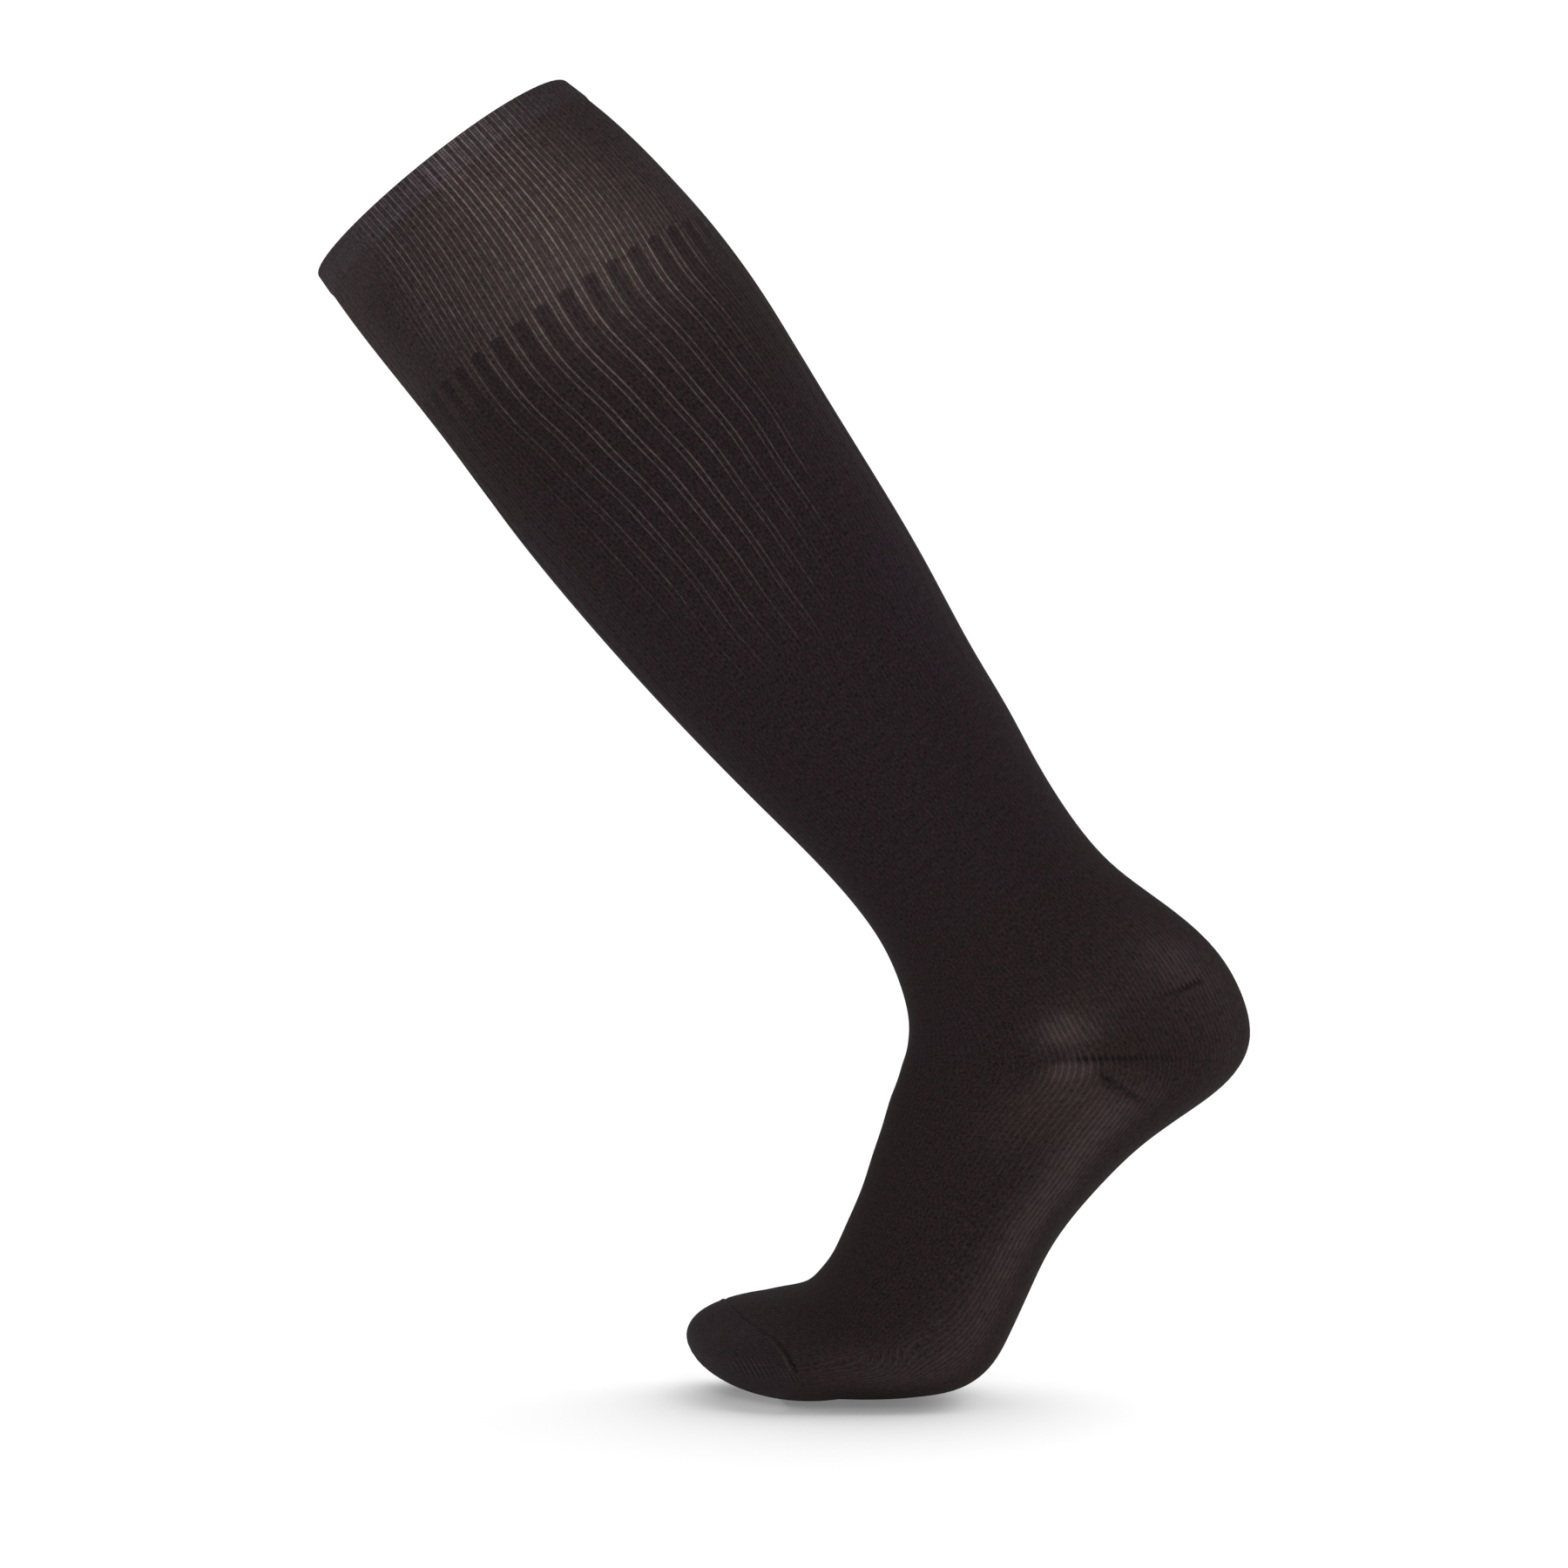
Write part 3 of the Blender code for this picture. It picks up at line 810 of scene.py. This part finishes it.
# %% [markdown]
# ## Sums that become nodes
# A material in Blender is a graph of nodes, and a mask such as one for every second rib needs
# many Math nodes. Wiring them by hand hides the idea, so one small class wraps a socket and lets
# us write the sum in Python. Each operator adds the Math node it stands for, and `node` adds any
# other kind: its settings come first, then the values or links of its sockets.

# %% Shade
class Shade:
    """A socket in a material's nodes that can be used in sums."""

    def __init__(self, tree, socket=None):
        self.tree, self.socket = tree, socket

    def node(self, kind, settings=(), inputs=(), output=0):
        made = self.tree.nodes.new(kind)
        for name, value in dict(settings).items():
            setattr(made, name, value)
        for key, value in dict(inputs).items():
            if isinstance(value, Shade):
                self.tree.links.new(value.socket, made.inputs[key])
            else:
                made.inputs[key].default_value = value
        return Shade(self.tree, made.outputs[output]) if made.outputs else None

    def math(self, operation, *values):
        return self.node("ShaderNodeMath", {"operation": operation}, enumerate(values))

    def __add__(self, other):
        return self.math("ADD", self, other)

    def __sub__(self, other):
        return self.math("SUBTRACT", self, other)

    def __rsub__(self, other):
        return self.math("SUBTRACT", other, self)

    def __mul__(self, other):
        return self.math("MULTIPLY", self, other)

    __radd__, __rmul__ = __add__, __mul__

    def fract(self):
        return self.math("FRACT", self)

    def size(self):
        return self.math("ABSOLUTE", self)

    def most(self, other):
        return self.math("MAXIMUM", self, other)

    def fade(self, start, end):
        """Go softly from 0 at start to 1 at end, which may be the smaller one."""
        return self.node("ShaderNodeMapRange", {"interpolation_type": "SMOOTHSTEP"},
                         {"Value": self, "From Min": start, "From Max": end})

    def wave(self):
        """Return a soft wave of height 0 to 1 that repeats with every whole number."""
        return self.math("COSINE", self * (2 * math.pi)) * 0.5 + 0.5

    def above(self, least):
        """Raise a mask, so that it goes from least to 1."""
        return self * (1 - least) + least

    def vary(self, swing):
        """Turn a noise into a factor around 1 that goes up and down by swing."""
        return self * (2 * swing) + (1 - swing)

    def mix(self, first, second):
        """Mix two colours by this mask."""
        return self.node("ShaderNodeMix", {"data_type": "RGBA"},
                         {"Factor": self, 6: first, 7: second}, output=2)


print("operators:", [name for name in vars(Shade) if name.startswith("__")][1:])

# %% [markdown]
# ## One yarn, six finishes
# The whole stocking is one black-brown nylon yarn around elastic, so one function makes all six
# materials from what differs between them. Colour and stitches come from the `knit` map, which
# counts wales and courses, so they swing with the mesh. Noise that runs along the wales gives
# the yarn its uneven grain. An image of the knit would be quicker to paint, but it would blur
# close up and break at the seams.

# %% Masks of the knit
WALE_WIDTH = 2.2  # millimetres, about the middle of the tube
CREST_FADE, V_ARMS = (0.25, 0.05), 0.8  # of a wale; how far the V's arms reach, in courses
LADDER_FADE, RUNG_GAP = (0.55, 0.95), 0.4  # of a rib's back; what is left between two rungs
NOISES = {"grain": (1.5, 2, 0.5), "cloud": (0.28, 2, 1), "bead": (0.5, 1, 1),
          "streak": (0.45, 1, 0.06), "dye": (0.25, 1, 1)}  # scale, detail, scale along a wale
Knit = namedtuple("Knit", ["wale", "course", "crest", "stitch", "ladder", "read", *NOISES])


def knit_masks(start):
    """Return places in the knit, its masks from 0 to 1, and a reader for the mesh's fields."""
    knit = start.node("ShaderNodeUVMap", {"uv_map": "knit"})
    wale, course = (start.node("ShaderNodeSeparateXYZ", (), {"Vector": knit}, axis) for axis in "XY")
    off_crest = (wale.fract() - 0.5).size()
    rib_back = 1 - ((wale * 0.5).fract() - 0.5).size() * 2

    def noise(scale, detail, along):
        place = start.node("ShaderNodeVectorMath", {"operation": "MULTIPLY"},
                           {0: knit, 1: (WALE_WIDTH, along, 1)})
        return start.node("ShaderNodeTexNoise", {"noise_dimensions": "2D"},
                          {"Vector": place, "Scale": scale, "Detail": detail}, "Fac")

    return Knit(
        wale, course, crest=off_crest.fade(*CREST_FADE), stitch=(course + off_crest * V_ARMS).wave(),
        ladder=rib_back.fade(*LADDER_FADE) * course.wave().above(RUNG_GAP),
        read=lambda name: start.node("ShaderNodeAttribute", {"attribute_name": name}, (), "Fac"),
        **{name: noise(*how) for name, how in NOISES.items()})


print("masks and noises:", Knit._fields)

# %% [markdown]
# ## Light yarn and painted highlight on dark
# The yarn shows two tones. The crests of the ribs and of the plain wales are light, partly
# because their smooth nylon is stretched flat and partly as a painted highlight, the ladder
# between two wales shows a rung for each course, and the furrows stay black. On the cuff both
# ribs of a repeat have the lighter yarn. Below it the second rib stops, and the first one turns
# into the leg's yarn over a few courses. No yarn is even: `bead` and `streak` break up the light
# of the ribs, `cloud` and `grain` that of all the knit.

# %% Light and colour
Finish = namedtuple("Finish", "dark light plain ladder below blend", defaults=(0, None, None))
WELT_DARK, WELT_LIGHT = (0.0132, 0.0096, 0.0102), (0.167, 0.132, 0.138)
CUFF_DARK, CUFF_LIGHT = (0.0108, 0.0070, 0.0067), (0.155, 0.120, 0.109)
UPPER, LOWER, TOE_DARK = (0.0061, 0.0034, 0.0044), (0.0068, 0.0039, 0.0039), (0.0078, 0.0048, 0.0053)
LEG_LIGHT, HEEL_LIGHT, TOE_LIGHT = (0.109, 0.081, 0.078), (0.112, 0.083, 0.076), (0.112, 0.085, 0.082)
FINISHES = {
    # dark and light yarn, how clear the wales of the plain knit are, how light the ladder of the
    # ribs is if there are any, and a dark yarn lower down with the courses where it takes over
    "welt_knit": Finish(WELT_DARK, WELT_LIGHT, 0, 0.36),
    "cuff_knit": Finish(UPPER, LEG_LIGHT, 0.24, 0.16),
    "leg_knit": Finish(UPPER, LEG_LIGHT, 0.24, 0.16, LOWER, (280, 380)),
    "heel_knit": Finish(LOWER, HEEL_LIGHT, 0.24),
    "foot_knit": Finish(LOWER, HEEL_LIGHT, 0.24, 0, TOE_DARK, (550, 578)),
    "toe_knit": Finish(TOE_DARK, TOE_LIGHT, 0.22),
}
REDDER, GREENER = (1.19, 0.94, 1.06), (0.82, 1.06, 0.93)  # the dye takes unevenly
DYE_FADE = (0.35, 0.65)
FIRST_HALF = (0.5001, 0.4999)  # of a repeat, with a sharp end
SECOND_CREST = (0.45, 0.55)  # of a rib
CUFF_FADE = (96, 70)  # courses over which a rib goes from the leg's yarn to the cuff's
BASE_LIGHT, STRETCH_AND_HIGHLIGHT_SHARE = 0.078, 0.17  # all over, and more where the knit is pulled open or a highlight is painted
WALE_LIGHT, WALE_REST = 0.9, 0.14  # a plain wale's crest, as painted highlight: where it is pulled or painted lit, and elsewhere
RIDGE_HIGHLIGHT = 0.12  # painted highlight on the toe seam's ridge, and on the gathers beside it
RIDGE_LINE, RIDGE_FADE = 1.7, (0.9, 0.1)  # in half widths of the seam's groove
PLEAT = 1.4  # courses for each gather of the toe cap
UNEVEN = 0.18  # the leg's second crest is darker by this, the cuff's ladder lighter
BETWEEN_PLAIN, BETWEEN_RIBS = 0.6, 0.7  # the light left between two stitches
RIB_SWING, CLOUD_SWING, GRAIN = 0.6, 0.4, 0.30


def rib_masks(slot, k):
    """Return where raised ribs are, and where they have the cuff's yarn."""
    if slot == "welt_knit":
        everywhere = k.course.fade(-2, -1)
        return everywhere, everywhere
    repeat = (k.wale * (1 / REPEAT)).fract()
    on_rib = repeat.fade(*FIRST_HALF)
    if slot == "cuff_knit":
        off_middle = repeat * REPEAT - PANEL_MIDDLE
        end = k.course * COURSE - off_middle * off_middle * PANEL_ROUND
        on_rib = on_rib.most(end.fade(PANEL_START + PANEL_FADE, PANEL_START))
    return on_rib, on_rib * k.course.fade(*CUFF_FADE)


def light_share(slot, finish, k, on_rib, upper):
    """Return how much of the light tone shows: lighter yarn, and painted highlight on crests."""
    stretch = k.read("stretch")
    # the crests of the plain wales are lighter as painted highlight, most where the knit is pulled or
    # painted lit
    light = k.crest * k.stitch.above(BETWEEN_PLAIN) * (stretch * WALE_LIGHT + WALE_REST)
    light = light * finish.plain * (1 - upper) + stretch * STRETCH_AND_HIGHLIGHT_SHARE + BASE_LIGHT
    if slot in ("foot_knit", "toe_knit"):
        # painted highlight on the toe seam's ridge and on the crests of the gathers
        ridge = (k.read("line") - RIDGE_LINE).size().fade(*RIDGE_FADE) * k.read("mark") * k.read("mark")
        light = light + (ridge + k.read("pleat") * (k.course * (1 / PLEAT)).wave()) * RIDGE_HIGHLIGHT
    # the ribs' crests: lighter yarn and painted highlight, placed round the leg by shine
    if finish.ladder:
        second = (k.wale * 0.5).fract().fade(*SECOND_CREST) * (1 - upper) * UNEVEN
        rib = k.crest * k.stitch.above(BETWEEN_RIBS) * (1 - second)
        rib = rib.most(k.ladder * (upper * UNEVEN + finish.ladder))
        broken = k.bead.vary(RIB_SWING) * k.streak.vary(RIB_SWING)
        light = light.most(rib * on_rib * k.read("shine") * broken)
    return light * k.cloud.vary(CLOUD_SWING) + (k.grain - 0.5) * GRAIN


def yarn_colour(slot, finish, k, light, upper):
    """Return the colour of both yarns together."""
    tinted = lambda dark: k.dye.fade(*DYE_FADE).mix(
        *[(*(part * shift for part, shift in zip(dark, tint)), 1) for tint in (REDDER, GREENER)])
    dark, bright = tinted(finish.dark), (*finish.light, 1)
    if finish.below:
        dark = k.course.fade(*finish.blend).mix(dark, tinted(finish.below))
    if slot in ("cuff_knit", "leg_knit"):
        dark, bright = upper.mix(dark, tinted(CUFF_DARK)), upper.mix(bright, (*CUFF_LIGHT, 1))
    return light.mix(dark, bright)


print("finishes:", list(FINISHES))

# %% [markdown]
# ## Holes, grooves and stitches
# What is drawn in by the machine is darker: the seams and the holes of the gore. The grooves
# along the heel's upper edge and the toe seam are dark partly as seams and partly as painted
# shade, and painted shade darkens the dimple at the heel's corner and the folds of the toe cap's
# gathers. The same mask lowers the surface a little there. A bump adds the small V of each
# stitch, far too fine to model: 152 wales by 600 courses would make 90,000 of them.

# %% Knit materials
# the near-black of the gore's holes, also the colour of the painted shade
HOLE_AND_SHADE_COLOUR, VIOLET = (0.004, 0.003, 0.003, 1), (0.98, 0.98, 1.16, 1)
SUNK_SHADE_SHARE = 0.8  # how much of that near-black a seam, a hole or a painted shade takes
SEAM_SWING = 1.2  # beads break up the drawn-in courses
HOLE_FADE, GORE_REST = (0.15, 0.90), 0.4  # of a wale; what is left between two holes
GROOVE_FADE, SCALLOPS = (1.0, 0.2), 0.8  # in its half widths; the stitches bend it this far
GATHER_DEPTH = 0.8
STITCH, STITCH_REST, CREST, LADDER, LOOSE = 0.5, 0.4, 0.3, 0.3, 0.1  # shares of the bump's height
MATT, LIGHT_SMOOTHER = 0.75, 0.25
RELIEF = {"Distance": 0.00012, "Strength": 0.8}
FIBRE = {"Specular IOR Level": 0.03, "Sheen Weight": 0.015, "Sheen Roughness": 0.5,
         "Sheen Tint": (1.0, 0.75, 0.80, 1)}


def sunk_and_shade_mask(k):
    """Return where the knit is drawn in, and where painted shade darkens a hollow or fold."""
    seam = k.read("seam") * k.bead.vary(SEAM_SWING)
    holes = k.read("holes") * k.wale.wave().fade(*HOLE_FADE).above(GORE_REST)
    # the grooves: dark partly as seams and partly as painted shade
    line = k.read("line") + (k.wale.wave() - 0.5) * SCALLOPS
    groove = line.size().fade(*GROOVE_FADE) * k.read("mark")
    # painted shade in the folds of the gathers
    gathers = k.read("pleat") * (1 - (k.course * (1 / PLEAT)).wave()) * GATHER_DEPTH
    return seam.most(holes).most(groove).most(gathers)


def stitch_height(k):
    """Return the height of the stitches for the bump."""
    stitch = k.stitch * STITCH * k.crest.above(STITCH_REST)
    return stitch + k.crest * CREST + k.ladder * LADDER + k.grain * LOOSE


def knit_material(slot, finish):
    material = bpy.data.materials.new(slot)
    material.use_nodes = True
    material.node_tree.nodes.clear()
    start = Shade(material.node_tree)
    k = knit_masks(start)
    on_rib, upper = rib_masks(slot, k) if finish.ladder else (0, 0)
    light, sunk_and_shade = light_share(slot, finish, k, on_rib, upper), sunk_and_shade_mask(k)
    colour = (sunk_and_shade * SUNK_SHADE_SHARE).mix(yarn_colour(slot, finish, k, light, upper), HOLE_AND_SHADE_COLOUR)
    colour = start.node("ShaderNodeMix", {"data_type": "RGBA", "blend_type": "MULTIPLY"},
                        {"Factor": k.read("violet"), 6: colour, 7: VIOLET}, 2)
    bump = start.node("ShaderNodeBump", {}, {"Height": stitch_height(k) - sunk_and_shade, **RELIEF})
    surface = start.node("ShaderNodeBsdfPrincipled", {}, {
        "Base Color": colour, "Roughness": MATT - light * LIGHT_SMOOTHER, "Normal": bump, **FIBRE})
    start.node("ShaderNodeOutputMaterial", {}, {"Surface": surface})
    return material


PIECES = {"welt": welt, "cuff": cuff, "leg": leg, "heel": heel, "foot": foot, "toe": toe}
for node, piece in PIECES.items():
    slot = node + "_knit"
    piece.data.materials.append(knit_material(slot, FINISHES[slot]))
    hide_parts(node)
    print(slot, len(piece.data.materials[0].node_tree.nodes), "nodes")

# %% [markdown]
# ## The knit off the leg
# Each piece is one length of a single tube. Off the leg the elastic pulls it in by about a
# quarter round the leg and a little in length.

# %% [markdown]
# ## Floor, light and camera
# The stocking stands on the ball of its foot on a plain white floor. The world is white and
# lights the knit from all sides, and a large soft lamp beside the camera gives the cuff and the
# heel their soft light. In such an even room nothing would throw a shadow. So a very wide sun
# lights only the floor, from behind on the right, and only the foot shades it: that gives the
# short soft shadow under the ball. The camera looks level from the outer side through a long
# lens, so the leg keeps its proportions.

# %% Floor and room
FLOOR_SIZE, FLOOR_DROP = 12, 0.0008  # the relief stands out by less than the drop
PAPER = {"Base Color": (0.45, 0.45, 0.45, 1), "Roughness": 0.9, "Specular IOR Level": 0.1,
         "Emission Color": (1, 1, 1, 1), "Emission Strength": 0.18}
ROOM, SEEN_ROOM = 0.75, 0.30  # what lights the knit, and what the camera sees more
lowest = cad_box[0][2]
bpy.ops.mesh.primitive_plane_add(size=FLOOR_SIZE, location=(0, 0, lowest - FLOOR_DROP))
floor = bpy.context.object
floor.name = "floor"
paper = bpy.data.materials.new("white_floor")
paper.use_nodes = True
for socket, value in PAPER.items():
    paper.node_tree.nodes["Principled BSDF"].inputs[socket].default_value = value
floor.data.materials.append(paper)
floor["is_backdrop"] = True

world = bpy.data.worlds.new("white_room")
world.use_nodes = True
seen = Shade(world.node_tree).node("ShaderNodeLightPath", output="Is Camera Ray")
background = world.node_tree.nodes["Background"]
background.inputs["Color"].default_value = (1, 1, 1, 1)
world.node_tree.links.new((seen * SEEN_ROOM + ROOM).socket, background.inputs["Strength"])
bpy.context.scene.world = world
bpy.context.scene.view_settings.view_transform = "Standard"
print("floor at %.1f mm" % (1000 * floor.location.z))

# %% Lamp, sun and camera
LAMP_AT, LAMP_TOWARDS, LAMP_SIZE, LAMP_WATTS = (0.40, -1.75, 0.40), (0.08, 0, -0.10), 0.7, 9
SUN_TOWARDS, SUN_STRENGTH, SUN_WIDE = (-0.85, -0.62, -1.0), 5.2, math.radians(74)
CAMERA_AT, LENS, SENSOR = (0.1257, -1.5, -0.22246), 93.75, 36


def stand(name, data, at, towards):
    """Put a lamp or the camera at a place and aim it."""
    thing = bpy.data.objects.new(name, data)
    thing.location = at
    thing.rotation_euler = towards.to_track_quat("-Z", "Y").to_euler()
    bpy.context.scene.collection.objects.link(thing)
    return thing


lamp = bpy.data.lights.new("key", "AREA")
lamp.shape, lamp.size, lamp.energy = "DISK", LAMP_SIZE, LAMP_WATTS
stand("key", lamp, LAMP_AT, Vector(LAMP_TOWARDS) - Vector(LAMP_AT))
sun = bpy.data.lights.new("skylight", "SUN")
sun.energy, sun.angle = SUN_STRENGTH, SUN_WIDE
skylight = stand("skylight", sun, (0, 0, 0), Vector(SUN_TOWARDS))
lit, shading = bpy.data.collections.new("lit_by_skylight"), bpy.data.collections.new("shades_skylight")
lit.objects.link(floor)
shading.objects.link(foot)
skylight.light_linking.receiver_collection = lit
skylight.light_linking.blocker_collection = shading

view = bpy.data.cameras.new("camera")
view.lens, view.sensor_width = LENS, SENSOR
bpy.context.scene.camera = stand("camera", view, CAMERA_AT, Vector((0, 1, 0)))
print("camera at", [round(value, 3) for value in bpy.context.scene.camera.location])

# %% Sizes and the end
plain = lambda box: [[round(value, 5) for value in corner] for corner in box]
{"cad": plain(cad_box), "visual": plain(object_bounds())}
print("CAD box:", plain(cad_box))
print("visual box:", plain(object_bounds()))
